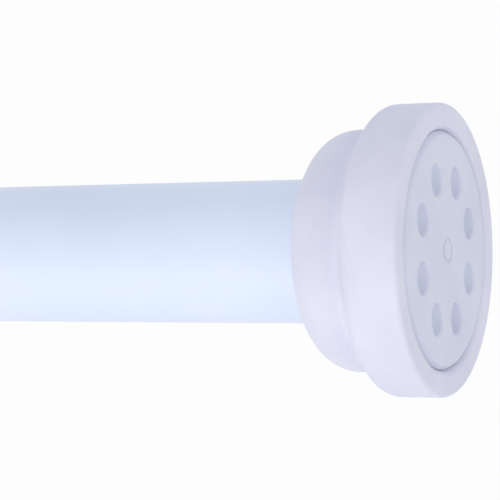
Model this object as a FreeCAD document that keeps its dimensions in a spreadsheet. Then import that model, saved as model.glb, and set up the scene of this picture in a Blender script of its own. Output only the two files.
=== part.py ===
import FreeCAD, Part
import math
import os
import re
import Sketcher

# Spring tension rod, seen from the front: X runs along the rod, Z points up.
# The origin is the middle of the right foot's wall face, and the rod lies on -X of it.
# All sizes are in millimetres.

DRIVING_SIZES = (
    ("rest_length", 560.0, "wall face to wall face, spring not pushed in"),
    ("outer_tube_length", 400.0, "wide tube"),
    ("outer_tube_diameter", 25.0, "wide tube, outside"),
    ("inner_tube_length", 300.0, "narrow tube"),
    ("inner_tube_diameter", 22.0, "narrow tube, outside"),
    ("tube_wall", 0.6, "both tubes"),
    ("tube_seat", 9.0, "wall face to the tube's end inside a foot"),
    ("running_gap", 0.06, "radial, between pieces that slide or turn"),
    ("fixed_gap", 0.03, "radial, between pieces pressed together"),
    ("face_gap", 0.1, "axial, between faces that meet"),
    ("foot_diameter", 49.5, "rubber boot, outside"),
    ("foot_rim", 7.8, "straight part of the boot's rim"),
    ("rim_round", 0.85, "front edge of the boot"),
    ("shoulder_round", 2.5, "edge behind the rim"),
    ("shoulder_slope", 66.0, "degrees of the sloping shoulder"),
    ("crease_round", 1.8, "soft crease between shoulder and dome"),
    ("dome_distance", 15.2, "wall face to the middle of the dome's round"),
    ("dome_offset", 14.0, "rod's middle line to the middle of the dome's round"),
    ("dome_round", 6.7, "the dome's round, outside"),
    ("neck_lip", 0.9, "thickness of the boot's edge on the tube"),
    ("neck_grip", 2.6, "boot's neck along the tube"),
    ("boot_wall", 2.4, "rubber wall"),
    ("lip_depth", 2.6, "boot's front lip, beside the disc"),
    ("disc_diameter", 39.8, "front disc of the plug"),
    ("groove_width", 0.6, "open groove round the disc"),
    ("edge_round", 0.4, "edges of the disc and of the lip"),
    ("flange_depth", 2.9, "plug flange behind the boot's lip"),
    ("dimple_circle", 25.0, "diameter of the ring of dimples"),
    ("dimple_diameter", 5.2, "dimple at the surface"),
    ("dimple_depth", 2.5, "dimple"),
    ("dimple_count", 8.0, "dimples in the ring"),
    ("gate_ring_diameter", 4.4, "moulded ring in the middle of the disc"),
    ("gate_ring_width", 0.5, "moulded ring"),
    ("gate_ring_depth", 0.15, "moulded ring"),
    ("disc_thickness", 3.6, "front wall of the plug"),
    ("hub_wall", 2.0, "plug socket round the tube"),
    ("hub_length", 9.0, "plug socket along the tube"),
    ("spigot_length", 22.0, "plug inside the tube"),
    ("spigot_wall", 2.2, "plug inside the tube"),
    ("spigot_play", 0.35, "radial, spigot to tube beside the ribs"),
    ("spigot_lead", 2.0, "tapered tip of the spigot"),
    ("spigot_lead_depth", 1.0, "tapered tip of the spigot, radial"),
    ("crush_rib_width", 1.2, "rib on the spigot"),
    ("web_thickness", 1.4, "web behind the plug's flange"),
    ("web_length", 5.5, "web along the hub"),
    ("web_play", 0.8, "radial, web to the boot's dome"),
    ("web_count", 8.0, "webs behind the flange"),
    ("collar_flange", 4.0, "collar outside the wide tube's mouth"),
    ("collar_skirt", 5.0, "collar over the wide tube"),
    ("collar_sleeve", 12.0, "collar inside the wide tube"),
    ("collar_wall", 0.9, "collar over the wide tube, radial"),
    ("bush_length", 14.0, "bush inside the narrow tube"),
    ("bush_flange", 5.0, "bush outside the narrow tube"),
    ("hex_flats", 7.0, "spindle shank across flats"),
    ("shank_length", 60.0, "spindle shank"),
    ("stub_diameter", 5.6, "spindle end in the plunger"),
    ("spindle_collar_diameter", 16.0, "spindle collar"),
    ("spindle_collar_length", 3.0, "spindle collar"),
    ("screw_diameter", 8.0, "spindle screw"),
    ("screw_length", 64.0, "spindle screw"),
    ("thrust_washer_diameter", 20.0, "thrust washer"),
    ("washer_thickness", 0.8, "all washers"),
    ("plunger_flange", 8.0, "plunger flange"),
    ("plunger_boss", 6.0, "plunger boss inside the spring"),
    ("plunger_play", 0.3, "axial, plunger to bush"),
    ("boss_play", 0.3, "radial, bosses in the spring"),
    ("stub_tip", 1.5, "spindle end beyond its clip"),
    ("clip_thickness", 0.8, "push-on clip"),
    ("clip_diameter", 10.0, "push-on clip"),
    ("clip_mouth", 3.2, "open side of the push-on clip"),
    ("clip_groove_depth", 0.6, "groove for the clip"),
    ("spring_length", 115.0, "spring as fitted"),
    ("spring_diameter", 19.0, "spring, outside"),
    ("spring_wire", 2.0, "spring wire"),
    ("spring_turns", 12.0, "working turns"),
    ("stop_length", 12.0, "spring stop in the tube"),
    ("stop_boss", 6.0, "spring stop inside the spring"),
    ("stop_bore", 9.0, "hole through the spring stop"),
    ("rolled_groove_width", 2.0, "groove rolled in the narrow tube"),
    ("rolled_groove_depth", 0.5, "groove rolled in the narrow tube"),
    ("sleeve_length", 40.0, "lock sleeve"),
    ("sleeve_bearing", 13.0, "solid end of the lock sleeve"),
    ("slot_width", 1.6, "slots of the lock sleeve"),
    ("cone_mouth_diameter", 19.4, "mouth of the sleeve's cone"),
    ("cone_small_diameter", 11.4, "narrow end of the sleeve's cone"),
    ("cone_length", 20.0, "sleeve's cone"),
    ("cone_back_off", 3.2, "cone nut's way to the sleeve's cone"),
    ("cone_nut_taper", 18.0, "taper of the cone nut"),
    ("cone_nut_land", 7.0, "cone nut behind its taper"),
    ("key_play", 0.3, "radial, key to the bore of the wide tube"),
    ("drag_ring_section", 1.6, "rubber ring"),
    ("drag_groove_width", 2.2, "groove for the rubber ring"),
    ("drag_ring_distance", 6.0, "sleeve end to the rubber ring"),
    ("end_stop_flats", 11.0, "nut at the screw's end"),
    ("end_stop_length", 5.0, "nut at the screw's end"),
    ("end_stop_margin", 1.5, "screw beyond its nut"),
    ("small_chamfer", 0.5, "turned and moulded edges"),
)
SPRING_STATIONS_PER_TURN = 16
SPRING_WIRE_SIDES = 8
CRUSH_RIB_COUNT = 6
SLOT_PAIRS = 2
KEY_COUNT = 4

document = FreeCAD.newDocument("TensionRod")
sheet = document.addObject("Spreadsheet::Sheet", "Sizes")
for row, (alias, number, meaning) in enumerate(DRIVING_SIZES, start=1):
    sheet.set("A%d" % row, alias)
    sheet.set("B%d" % row, str(number))
    sheet.set("C%d" % row, meaning)
    sheet.setAlias("B%d" % row, alias)
document.recompute()
ALIASES = {alias for alias, number, meaning in DRIVING_SIZES}


def sheet_word(match):
    """Give a word of a formula, looked up in the sheet if it is an alias."""
    word = match.group()
    return "Sizes." + word if word in ALIASES else word


def formula(text):
    """Give an expression in which every alias is looked up in the sheet."""
    return re.sub(r"[a-z_]+", sheet_word, text)


def value(text):
    """Work out a formula over the sheet as a plain number."""
    return float(sheet.evalExpression(formula(text)))


def bind(thing, target, text):
    """Tie a property or a constraint of an object to a formula."""
    thing.setExpression(target, formula(text))


# Formulas that several pieces share
OUTER_RADIUS = "outer_tube_diameter / 2"
OUTER_BORE = "(outer_tube_diameter / 2 - tube_wall)"
INNER_RADIUS = "inner_tube_diameter / 2"
INNER_BORE = "(inner_tube_diameter / 2 - tube_wall)"
INNER_TUBE_LEFT = "(tube_seat - rest_length)"
INNER_TUBE_RIGHT = "(tube_seat - rest_length + inner_tube_length)"
BUSH_LEFT = "(%s - bush_length)" % INNER_TUBE_RIGHT
PLUNGER_RIGHT = "(%s - plunger_play)" % BUSH_LEFT
PLUNGER_LENGTH = "(plunger_flange + plunger_boss)"
STUB_LENGTH = "(%s + face_gap * 2 + clip_thickness + stub_tip)" % PLUNGER_LENGTH
SPINDLE_LEFT = "(%s - %s)" % (PLUNGER_RIGHT, STUB_LENGTH)
COLLAR_START = "(%s + shank_length)" % STUB_LENGTH
SCREW_START = "(%s + spindle_collar_length)" % COLLAR_START
THRUST_WASHER_LEFT = "(%s + %s + face_gap)" % (SPINDLE_LEFT, SCREW_START)
SLEEVE_LEFT = "(%s + washer_thickness + face_gap)" % THRUST_WASHER_LEFT
FOLLOWER_WASHER_LEFT = "(%s - plunger_flange - face_gap - washer_thickness)" % PLUNGER_RIGHT
SPRING_RIGHT = "(%s - face_gap)" % FOLLOWER_WASHER_LEFT
SPRING_LEFT = "(%s - spring_length)" % SPRING_RIGHT
SEAT_WASHER_LEFT = "(%s - face_gap - washer_thickness)" % SPRING_LEFT
STOP_LEFT = "(%s - face_gap - stop_length)" % SEAT_WASHER_LEFT
BOSS_RADIUS = "(spring_diameter / 2 - spring_wire - boss_play)"
TAPER = "((cone_mouth_diameter - cone_small_diameter) / 2 / cone_length)"
DIMPLE_SPHERE = "((dimple_diameter ^ 2 / 4 + dimple_depth ^ 2) / (2 * dimple_depth))"
CAVITY_RADIUS = "(foot_diameter / 2 - boot_wall)"


def origin_feature(body, role):
    """Find an origin plane or axis of a body by its role."""
    return next(feature for feature in body.Origin.OriginFeatures if feature.Role == role)


def new_body(label):
    """Start a sub-part whose label names its file."""
    body = document.addObject("PartDesign::Body", "Body_" + label)
    body.Label = label
    return body


def put(part, along, turned=False):
    """Place a sub-part on the rod's middle line; turned ones look along -X."""
    if turned:
        half_turn = FreeCAD.Rotation(FreeCAD.Vector(0, 0, 1), 180)
        part.Placement = FreeCAD.Placement(FreeCAD.Vector(), half_turn)
    bind(part, "Placement.Base.x", along)


def new_sketch(body, name, role):
    """Put an empty sketch on one of the body's own origin planes."""
    sketch = body.newObject("Sketcher::SketchObject", name)
    sketch.AttachmentSupport = [(origin_feature(body, role), "")]
    sketch.MapMode = "FlatFace"
    return sketch


def pin_point(sketch, edge, end, across, up):
    """Hold one end of an edge at a place given by two formulas."""
    for kind, text in (("DistanceX", across), ("DistanceY", up)):
        index = sketch.addConstraint(Sketcher.Constraint(kind, -1, 1, edge, end, value(text)))
        bind(sketch, "Constraints[%d]" % index, text)


def arc_between(start, end, radius, sign):
    """Give an anticlockwise arc; sign 1 bulges to the right of the way from start to end."""
    chord = end - start
    side = FreeCAD.Vector(chord.y, -chord.x, 0).normalize()
    rise = radius - math.sqrt(radius ** 2 - chord.Length ** 2 / 4)
    middle = (start + end) / 2 + side * rise * sign
    return Part.Arc(start, middle, end) if sign > 0 else Part.Arc(end, middle, start)


def outline(body, name, role, corners):
    """Draw a closed outline. A corner is (across, up) or (across, up, radius formula, sign).

    The last two belong to the arc that leads to the corner from the one before.
    """
    sketch = new_sketch(body, name, role)
    points = [FreeCAD.Vector(value(corner[0]), value(corner[1]), 0) for corner in corners]
    count = len(corners)
    forward = []
    for index, corner in enumerate(corners):
        start, end = points[index - 1], points[index]
        if len(corner) == 2:
            sketch.addGeometry(Part.LineSegment(start, end), False)
            forward.append(True)
            continue
        sketch.addGeometry(arc_between(start, end, value(corner[2]), corner[3]), False)
        forward.append(corner[3] > 0)
    for index in range(count):
        following = (index + 1) % count
        here = 2 if forward[index] else 1
        there = 1 if forward[following] else 2
        sketch.addConstraint(Sketcher.Constraint("Coincident", index, here, following, there))
        pin_point(sketch, index, here, corners[index][0], corners[index][1])
        if len(corners[index]) > 2:
            text = corners[index][2]
            number = sketch.addConstraint(Sketcher.Constraint("Radius", index, value(text)))
            bind(sketch, "Constraints[%d]" % number, text)
    return sketch


def turn(body, name, corners):
    """Revolve an outline of (along, out) corners round the rod's middle line."""
    sketch = outline(body, name + "_outline", "XY_Plane", corners)
    solid = body.newObject("PartDesign::Revolution", name)
    solid.Profile = sketch
    solid.ReferenceAxis = (sketch, ["H_Axis"])
    solid.Angle = 360
    document.recompute()
    return solid


def rectangle(left, low, right, high):
    """Corners of an upright rectangle, anticlockwise."""
    return [(left, low), (right, low), (right, high), (left, high)]


def ring_pattern(body, feature, name, count):
    """Repeat a feature round the rod's middle line."""
    pattern = body.newObject("PartDesign::PolarPattern", name)
    pattern.Originals = [feature]
    pattern.Axis = (origin_feature(body, "X_Axis"), [""])
    pattern.Angle = 360
    if isinstance(count, str):
        bind(pattern, "Occurrences", count)
    else:
        pattern.Occurrences = count
    body.Tip = pattern
    document.recompute()
    return pattern


def plate_between(body, name, corners, thickness, cut=False):
    """Pad or pocket an outline in the XY plane, half its thickness to each side."""
    before = body.Shape.Volume
    sketch = outline(body, name + "_outline", "XY_Plane", corners)
    kind = "PartDesign::Pocket" if cut else "PartDesign::Pad"
    feature = body.newObject(kind, name)
    feature.Profile = sketch
    bind(feature, "Length", thickness)
    feature.Midplane = True
    document.recompute()
    if (feature.Shape.Volume < before) != cut:
        raise RuntimeError(name + " points the wrong way")
    return feature


def hex_sketch(body, name, flats):
    """Draw a hexagon round the origin in the YZ plane, with its size across flats."""
    sketch = new_sketch(body, name, "YZ_Plane")
    corner = value(flats) / math.sqrt(3)
    points = []
    for step in range(6):
        angle = math.radians(60 * step)
        points.append(FreeCAD.Vector(corner * math.cos(angle), corner * math.sin(angle), 0))
    for step in range(6):
        sketch.addGeometry(Part.LineSegment(points[step], points[(step + 1) % 6]), False)
    for step in range(6):
        sketch.addConstraint(Sketcher.Constraint("Coincident", step, 2, (step + 1) % 6, 1))
    circle = sketch.addGeometry(Part.Circle(FreeCAD.Vector(), FreeCAD.Vector(0, 0, 1), corner), True)
    sketch.addConstraint(Sketcher.Constraint("Coincident", circle, 3, -1, 1))
    for step in range(6):
        sketch.addConstraint(Sketcher.Constraint("PointOnObject", step, 1, circle))
    for step in range(5):
        sketch.addConstraint(Sketcher.Constraint("Equal", step, step + 1))
    sketch.addConstraint(Sketcher.Constraint("PointOnObject", 0, 1, -1))
    size = "(%s) / sqrt(3)" % flats
    number = sketch.addConstraint(Sketcher.Constraint("Radius", circle, value(size)))
    bind(sketch, "Constraints[%d]" % number, size)
    return sketch


def hex_feature(body, name, flats, start, length, cut=False):
    """Pad or cut a hexagonal prism along the rod from a given place."""
    before = body.Shape.Volume if body.Tip else 0.0
    sketch = hex_sketch(body, name + "_outline", flats)
    bind(sketch, "AttachmentOffset.Base.z", start)
    feature = body.newObject("PartDesign::Pocket" if cut else "PartDesign::Pad", name)
    feature.Profile = sketch
    bind(feature, "Length", length)
    feature.Reversed = cut
    document.recompute()
    if (feature.Shape.Volume < before) != cut:
        raise RuntimeError(name + " points the wrong way")
    return feature


def washer(label, outer_radius, inner_radius, along):
    """Make a flat washer that stands across the rod."""
    body = new_body(label)
    turn(body, label + "_ring", rectangle("0", inner_radius, "washer_thickness", outer_radius))
    put(body, along)


# Tubes

outer_tube = new_body("outer_tube")
turn(outer_tube, "OuterWall", rectangle("0", OUTER_BORE, "outer_tube_length", OUTER_RADIUS))
put(outer_tube, "-tube_seat - outer_tube_length")

GROOVE_MIDDLE = "(%s + stop_length / 2 - %s)" % (STOP_LEFT, INNER_TUBE_LEFT)
GROOVE_START = "(%s - rolled_groove_width / 2)" % GROOVE_MIDDLE
GROOVE_END = "(%s + rolled_groove_width / 2)" % GROOVE_MIDDLE
inner_tube = new_body("inner_tube")
turn(inner_tube, "InnerWall", [
    ("0", INNER_BORE),
    (GROOVE_START + " - rolled_groove_depth", INNER_BORE),
    (GROOVE_START, INNER_BORE + " - rolled_groove_depth"),
    (GROOVE_END, INNER_BORE + " - rolled_groove_depth"),
    (GROOVE_END + " + rolled_groove_depth", INNER_BORE),
    ("inner_tube_length", INNER_BORE),
    ("inner_tube_length", INNER_RADIUS),
    (GROOVE_END + " + rolled_groove_depth", INNER_RADIUS),
    (GROOVE_END, INNER_RADIUS + " - rolled_groove_depth"),
    (GROOVE_START, INNER_RADIUS + " - rolled_groove_depth"),
    (GROOVE_START + " - rolled_groove_depth", INNER_RADIUS),
    ("0", INNER_RADIUS),
])
put(inner_tube, INNER_TUBE_LEFT)

# Collar on the wide tube's mouth

collar = new_body("outer_tube_collar")
COLLAR_OUTSIDE = OUTER_RADIUS + " + collar_wall"
turn(collar, "CollarRing", [
    ("0", INNER_RADIUS + " + running_gap + small_chamfer"),
    ("small_chamfer", INNER_RADIUS + " + running_gap"),
    ("collar_flange + collar_sleeve", INNER_RADIUS + " + running_gap"),
    ("collar_flange + collar_sleeve", OUTER_BORE + " - fixed_gap"),
    ("collar_flange", OUTER_BORE + " - fixed_gap"),
    ("collar_flange", OUTER_RADIUS + " + fixed_gap"),
    ("collar_flange + collar_skirt", OUTER_RADIUS + " + fixed_gap"),
    ("collar_flange + collar_skirt", COLLAR_OUTSIDE + " - small_chamfer"),
    ("collar_flange + collar_skirt - small_chamfer", COLLAR_OUTSIDE),
    ("collar_wall", COLLAR_OUTSIDE),
    ("0", OUTER_RADIUS, "collar_wall", 1),
])
put(collar, "-tube_seat - outer_tube_length - collar_flange")

# Feet


def make_boot(label, tube_radius):
    """Make the stepped rubber boot, its wall face at 0 and its neck towards +X."""
    body = new_body(label)
    outside = "foot_diameter / 2"
    opening = "(disc_diameter / 2 + groove_width)"
    cavity_back = "(lip_depth + flange_depth + face_gap)"
    share = "dome_round / (dome_round + crease_round)"
    slope_start = "(foot_rim + shoulder_round * sin(shoulder_slope))"
    slope_top = "(foot_diameter / 2 - shoulder_round * (1 - cos(shoulder_slope)))"
    dome_along = "(dome_distance - %s)" % slope_start
    dome_out = "(dome_offset - %s)" % slope_top
    dome_ahead = "(%s * cos(shoulder_slope) - %s * sin(shoulder_slope))" % (dome_along, dome_out)
    dome_under = "(%s * sin(shoulder_slope) + %s * cos(shoulder_slope))" % (dome_along, dome_out)
    slope_run = "(%s - sqrt((dome_round + crease_round) ^ 2 - (crease_round - %s) ^ 2))" % (
        dome_ahead, dome_under)
    slope_end = "(%s + %s * cos(shoulder_slope))" % (slope_start, slope_run)
    slope_foot = "(%s - %s * sin(shoulder_slope))" % (slope_top, slope_run)
    crease_end = "(dome_distance + (%s + crease_round * sin(shoulder_slope) - dome_distance) * %s)" % (
        slope_end, share)
    crease_foot = "(dome_offset + (%s + crease_round * cos(shoulder_slope) - dome_offset) * %s)" % (
        slope_foot, share)
    inner_dome = "(dome_round - boot_wall)"
    dome_tip = "(dome_distance + sqrt(dome_round ^ 2 - neck_lip ^ 2))"
    inner_tip = "(%s - neck_grip)" % dome_tip
    inner_tip_out = "(dome_offset + sqrt(%s ^ 2 - (%s - dome_distance) ^ 2))" % (inner_dome, inner_tip)
    turn(body, label + "_wall", [
        ("edge_round", opening, "edge_round", 1),
        ("lip_depth", opening),
        ("lip_depth", CAVITY_RADIUS),
        (cavity_back, CAVITY_RADIUS),
        ("dome_distance - boot_wall * 2", "dome_offset + " + inner_dome),
        ("dome_distance", "dome_offset + " + inner_dome),
        (inner_tip, inner_tip_out, inner_dome, -1),
        (inner_tip, tube_radius + " + fixed_gap"),
        (dome_tip, tube_radius + " + fixed_gap"),
        (dome_tip, "dome_offset + neck_lip"),
        (crease_end, crease_foot, "dome_round", 1),
        (slope_end, slope_foot, "crease_round", -1),
        (slope_start, slope_top),
        ("foot_rim", outside, "shoulder_round", 1),
        ("rim_round", outside),
        ("0", outside + " - rim_round", "rim_round", 1),
        ("0", opening + " + edge_round"),
    ])
    return body


def make_plug(label, tube_radius, tube_bore):
    """Make the hard plug: dimpled disc, flange, socket, ribbed spigot and webs."""
    body = new_body(label)
    disc = "disc_diameter / 2"
    flange_front = "(lip_depth + face_gap)"
    flange_back = "(lip_depth + flange_depth)"
    flange = "(%s - face_gap)" % CAVITY_RADIUS
    hub = "(%s + fixed_gap + hub_wall)" % tube_radius
    hub_end = "(tube_seat + hub_length)"
    spigot = "(%s - spigot_play)" % tube_bore
    spigot_end = "(tube_seat + spigot_length)"
    turn(body, label + "_solid", [
        ("0", "0"),
        ("disc_thickness", "0"),
        ("disc_thickness", spigot + " - spigot_wall"),
        (spigot_end, spigot + " - spigot_wall"),
        (spigot_end, spigot + " - spigot_lead_depth"),
        (spigot_end + " - spigot_lead", spigot),
        ("tube_seat - face_gap", spigot),
        ("tube_seat - face_gap", tube_radius + " + fixed_gap"),
        (hub_end, tube_radius + " + fixed_gap"),
        (hub_end, hub),
        (flange_back, hub),
        (flange_back, flange),
        (flange_front, flange),
        (flange_front, disc),
        ("edge_round", disc),
        ("0", disc + " - edge_round", "edge_round", 1),
    ])
    rib = plate_between(body, label + "_rib", rectangle(
        "tube_seat + small_chamfer", spigot + " - spigot_wall / 2",
        spigot_end + " - spigot_lead * 2", tube_bore + " - fixed_gap"), "crush_rib_width")
    ring_pattern(body, rib, label + "_ribs", CRUSH_RIB_COUNT)
    web_reach = "(dome_offset + dome_round - boot_wall - web_play)"
    web = plate_between(body, label + "_web", [
        (flange_back + " - flange_depth / 2", hub + " - hub_wall / 2"),
        (flange_back + " + web_length", hub + " - hub_wall / 2"),
        (flange_back + " + web_length", hub + " + small_chamfer"),
        (flange_back + " + web_length / 2", web_reach),
        (flange_back + " - flange_depth / 2", web_reach),
    ], "web_thickness")
    ring_pattern(body, web, label + "_webs", "web_count")
    dimple = body.newObject("PartDesign::SubtractiveSphere", label + "_dimple")
    bind(dimple, "Radius", DIMPLE_SPHERE)
    bind(dimple, "Placement.Base.x", "dimple_depth - " + DIMPLE_SPHERE)
    bind(dimple, "Placement.Base.y", "dimple_circle / 2 * cos(180 / dimple_count)")
    bind(dimple, "Placement.Base.z", "dimple_circle / 2 * sin(180 / dimple_count)")
    document.recompute()
    ring_pattern(body, dimple, label + "_dimples", "dimple_count")
    before = body.Shape.Volume
    sketch = outline(body, label + "_gate_outline", "XY_Plane", rectangle(
        "-gate_ring_depth", "gate_ring_diameter / 2 - gate_ring_width",
        "gate_ring_depth", "gate_ring_diameter / 2"))
    gate = body.newObject("PartDesign::Groove", label + "_gate")
    gate.Profile = sketch
    gate.ReferenceAxis = (sketch, ["H_Axis"])
    gate.Angle = 360
    document.recompute()
    if gate.Shape.Volume >= before:
        raise RuntimeError("the ring in the disc cuts nothing")
    return body


put(make_boot("right_foot_boot", OUTER_RADIUS), "0", turned=True)
put(make_plug("right_foot_plug", OUTER_RADIUS, OUTER_BORE), "0", turned=True)
put(make_boot("left_foot_boot", INNER_RADIUS), "-rest_length")
put(make_plug("left_foot_plug", INNER_RADIUS, INNER_BORE), "-rest_length")

# Bush in the narrow tube's inner end

bush = new_body("inner_tube_bush")
turn(bush, "BushBody", [
    ("0", "0"),
    ("bush_length + bush_flange", "0"),
    ("bush_length + bush_flange", OUTER_BORE + " - running_gap - small_chamfer"),
    ("bush_length + bush_flange - small_chamfer", OUTER_BORE + " - running_gap"),
    ("bush_length + face_gap", OUTER_BORE + " - running_gap"),
    ("bush_length + face_gap", INNER_BORE + " - fixed_gap"),
    ("small_chamfer * 2", INNER_BORE + " - fixed_gap"),
    ("0", INNER_BORE + " - fixed_gap - small_chamfer"),
])
hex_feature(bush, "BushHexHole", "hex_flats + running_gap * 2", "-face_gap",
            "bush_length + bush_flange + face_gap * 2", cut=True)
put(bush, BUSH_LEFT)

# Spindle with its washers, clip and end stop

spindle = new_body("spindle")
GROOVE_LEFT = "(%s - %s - face_gap * 2 - clip_thickness)" % (STUB_LENGTH, PLUNGER_LENGTH)
STUB_RADIUS = "stub_diameter / 2"
turn(spindle, "SpindleTurned", [
    ("0", "0"),
    (SCREW_START + " + screw_length", "0"),
    (SCREW_START + " + screw_length", "screw_diameter / 2 - small_chamfer"),
    (SCREW_START + " + screw_length - small_chamfer", "screw_diameter / 2"),
    (SCREW_START, "screw_diameter / 2"),
    (SCREW_START, "spindle_collar_diameter / 2"),
    (COLLAR_START, "spindle_collar_diameter / 2"),
    (COLLAR_START, STUB_RADIUS),
    (GROOVE_LEFT + " + clip_thickness + face_gap", STUB_RADIUS),
    (GROOVE_LEFT + " + clip_thickness + face_gap", STUB_RADIUS + " - clip_groove_depth"),
    (GROOVE_LEFT, STUB_RADIUS + " - clip_groove_depth"),
    (GROOVE_LEFT, STUB_RADIUS),
    ("small_chamfer", STUB_RADIUS),
    ("0", STUB_RADIUS + " - small_chamfer"),
])
hex_feature(spindle, "SpindleShank", "hex_flats", STUB_LENGTH, "shank_length")
put(spindle, SPINDLE_LEFT)

washer("thrust_washer", "thrust_washer_diameter / 2", "screw_diameter / 2 + face_gap", THRUST_WASHER_LEFT)
LOOSE_IN_TUBE = INNER_BORE + " - running_gap * 2"
LOOSE_ON_BOSS = BOSS_RADIUS + " + face_gap"
washer("follower_washer", LOOSE_IN_TUBE, LOOSE_ON_BOSS, FOLLOWER_WASHER_LEFT)
washer("spring_seat_washer", LOOSE_IN_TUBE, LOOSE_ON_BOSS, SEAT_WASHER_LEFT)

plunger = new_body("plunger")
turn(plunger, "PlungerBody", [
    ("0", "stub_diameter / 2 + fixed_gap"),
    (PLUNGER_LENGTH, "stub_diameter / 2 + fixed_gap"),
    (PLUNGER_LENGTH, INNER_BORE + " - running_gap - small_chamfer"),
    (PLUNGER_LENGTH + " - small_chamfer", INNER_BORE + " - running_gap"),
    ("plunger_boss", INNER_BORE + " - running_gap"),
    ("plunger_boss", BOSS_RADIUS),
    ("small_chamfer * 2", BOSS_RADIUS),
    ("0", BOSS_RADIUS + " - small_chamfer * 2"),
])
put(plunger, "%s - %s" % (PLUNGER_RIGHT, PLUNGER_LENGTH))

clip = new_body("plunger_clip")
turn(clip, "ClipRing", rectangle("0", STUB_RADIUS + " - clip_groove_depth + fixed_gap",
                                 "clip_thickness", "clip_diameter / 2"))
plate_between(clip, "ClipMouth", rectangle(
    "-face_gap", "0", "clip_thickness + face_gap", "clip_diameter"), "clip_mouth", cut=True)
put(clip, "%s + %s + face_gap / 2" % (SPINDLE_LEFT, GROOVE_LEFT))

end_stop = new_body("thread_end_stop")
hex_feature(end_stop, "EndStopNut", "end_stop_flats", "0", "end_stop_length")
hole = end_stop.newObject("PartDesign::SubtractiveCylinder", "EndStopHole")
hole.Placement = FreeCAD.Placement(FreeCAD.Vector(), FreeCAD.Rotation(FreeCAD.Vector(0, 1, 0), 90))
bind(hole, "Radius", "screw_diameter / 2 + fixed_gap")
bind(hole, "Height", "end_stop_length")
document.recompute()
put(end_stop, "%s + %s + screw_length - end_stop_margin - end_stop_length" % (
    SPINDLE_LEFT, SCREW_START))

# Spring stop held by the rolled groove

stop = new_body("spring_stop")
STOP_RADIUS = INNER_BORE + " - fixed_gap"
STOP_GROOVE = INNER_BORE + " - rolled_groove_depth - fixed_gap"
turn(stop, "StopBody", [
    ("0", "stop_bore / 2"),
    ("stop_length + stop_boss", "stop_bore / 2"),
    ("stop_length + stop_boss", BOSS_RADIUS + " - small_chamfer * 2"),
    ("stop_length + stop_boss - small_chamfer * 2", BOSS_RADIUS),
    ("stop_length", BOSS_RADIUS),
    ("stop_length", STOP_RADIUS),
    ("stop_length / 2 + rolled_groove_width / 2 + rolled_groove_depth", STOP_RADIUS),
    ("stop_length / 2 + rolled_groove_width / 2", STOP_GROOVE),
    ("stop_length / 2 - rolled_groove_width / 2", STOP_GROOVE),
    ("stop_length / 2 - rolled_groove_width / 2 - rolled_groove_depth", STOP_RADIUS),
    ("small_chamfer", STOP_RADIUS),
    ("0", STOP_RADIUS + " - small_chamfer"),
])
put(stop, STOP_LEFT)

# Lock sleeve with its cone, slots and rubber ring

sleeve = new_body("lock_sleeve")
SLEEVE_RADIUS = "(%s - running_gap)" % OUTER_BORE
CONE_START = "(sleeve_length - cone_length)"
RING_DEPTH = "(drag_ring_section + fixed_gap)"
turn(sleeve, "SleeveBody", [
    ("0", "screw_diameter / 2 + running_gap"),
    ("sleeve_bearing", "screw_diameter / 2 + running_gap"),
    ("sleeve_bearing", "cone_small_diameter / 2"),
    (CONE_START, "cone_small_diameter / 2"),
    ("sleeve_length", "cone_mouth_diameter / 2"),
    ("sleeve_length", SLEEVE_RADIUS + " - small_chamfer"),
    ("sleeve_length - small_chamfer", SLEEVE_RADIUS),
    ("drag_ring_distance + drag_groove_width / 2", SLEEVE_RADIUS),
    ("drag_ring_distance + drag_groove_width / 2", SLEEVE_RADIUS + " - " + RING_DEPTH),
    ("drag_ring_distance - drag_groove_width / 2", SLEEVE_RADIUS + " - " + RING_DEPTH),
    ("drag_ring_distance - drag_groove_width / 2", SLEEVE_RADIUS),
    ("small_chamfer", SLEEVE_RADIUS),
    ("0", SLEEVE_RADIUS + " - small_chamfer"),
])
slots = plate_between(sleeve, "SleeveSlots", rectangle(
    "sleeve_bearing + small_chamfer", "-" + OUTER_RADIUS,
    "sleeve_length + face_gap", OUTER_RADIUS), "slot_width", cut=True)
ring_pattern(sleeve, slots, "SleeveSlotPairs", SLOT_PAIRS * 2)
put(sleeve, SLEEVE_LEFT)

drag_ring = document.addObject("Part::Torus", "DragRing")
drag_ring.Label = "drag_ring"
drag_ring.Placement = FreeCAD.Placement(FreeCAD.Vector(), FreeCAD.Rotation(FreeCAD.Vector(0, 1, 0), 90))
bind(drag_ring, "Radius1", SLEEVE_RADIUS + " - drag_ring_section / 2")
bind(drag_ring, "Radius2", "drag_ring_section / 2")
put(drag_ring, SLEEVE_LEFT + " + drag_ring_distance")

# Cone nut, drawn into the sleeve's cone by the screw

nut = new_body("cone_nut")
NUT_LARGE_RADIUS = "(cone_small_diameter / 2 + cone_nut_taper * %s)" % TAPER
turn(nut, "NutBody", [
    ("0", "screw_diameter / 2 + running_gap"),
    ("cone_nut_taper + cone_nut_land", "screw_diameter / 2 + running_gap"),
    ("cone_nut_taper + cone_nut_land", NUT_LARGE_RADIUS + " - small_chamfer"),
    ("cone_nut_taper + cone_nut_land - small_chamfer", NUT_LARGE_RADIUS),
    ("cone_nut_taper", NUT_LARGE_RADIUS),
    ("0", "cone_small_diameter / 2"),
])
key = plate_between(nut, "NutKey", rectangle(
    "small_chamfer", "screw_diameter / 2 + small_chamfer",
    "cone_nut_taper + cone_nut_land - small_chamfer * 2", SLEEVE_RADIUS + " - key_play"),
    "slot_width - running_gap * 2")
ring_pattern(nut, key, "NutKeys", KEY_COUNT)
put(nut, SLEEVE_LEFT + " + " + CONE_START + " + cone_back_off")

# Compression spring: a coil with a many-sided wire and closed, flat-laid end turns


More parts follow.
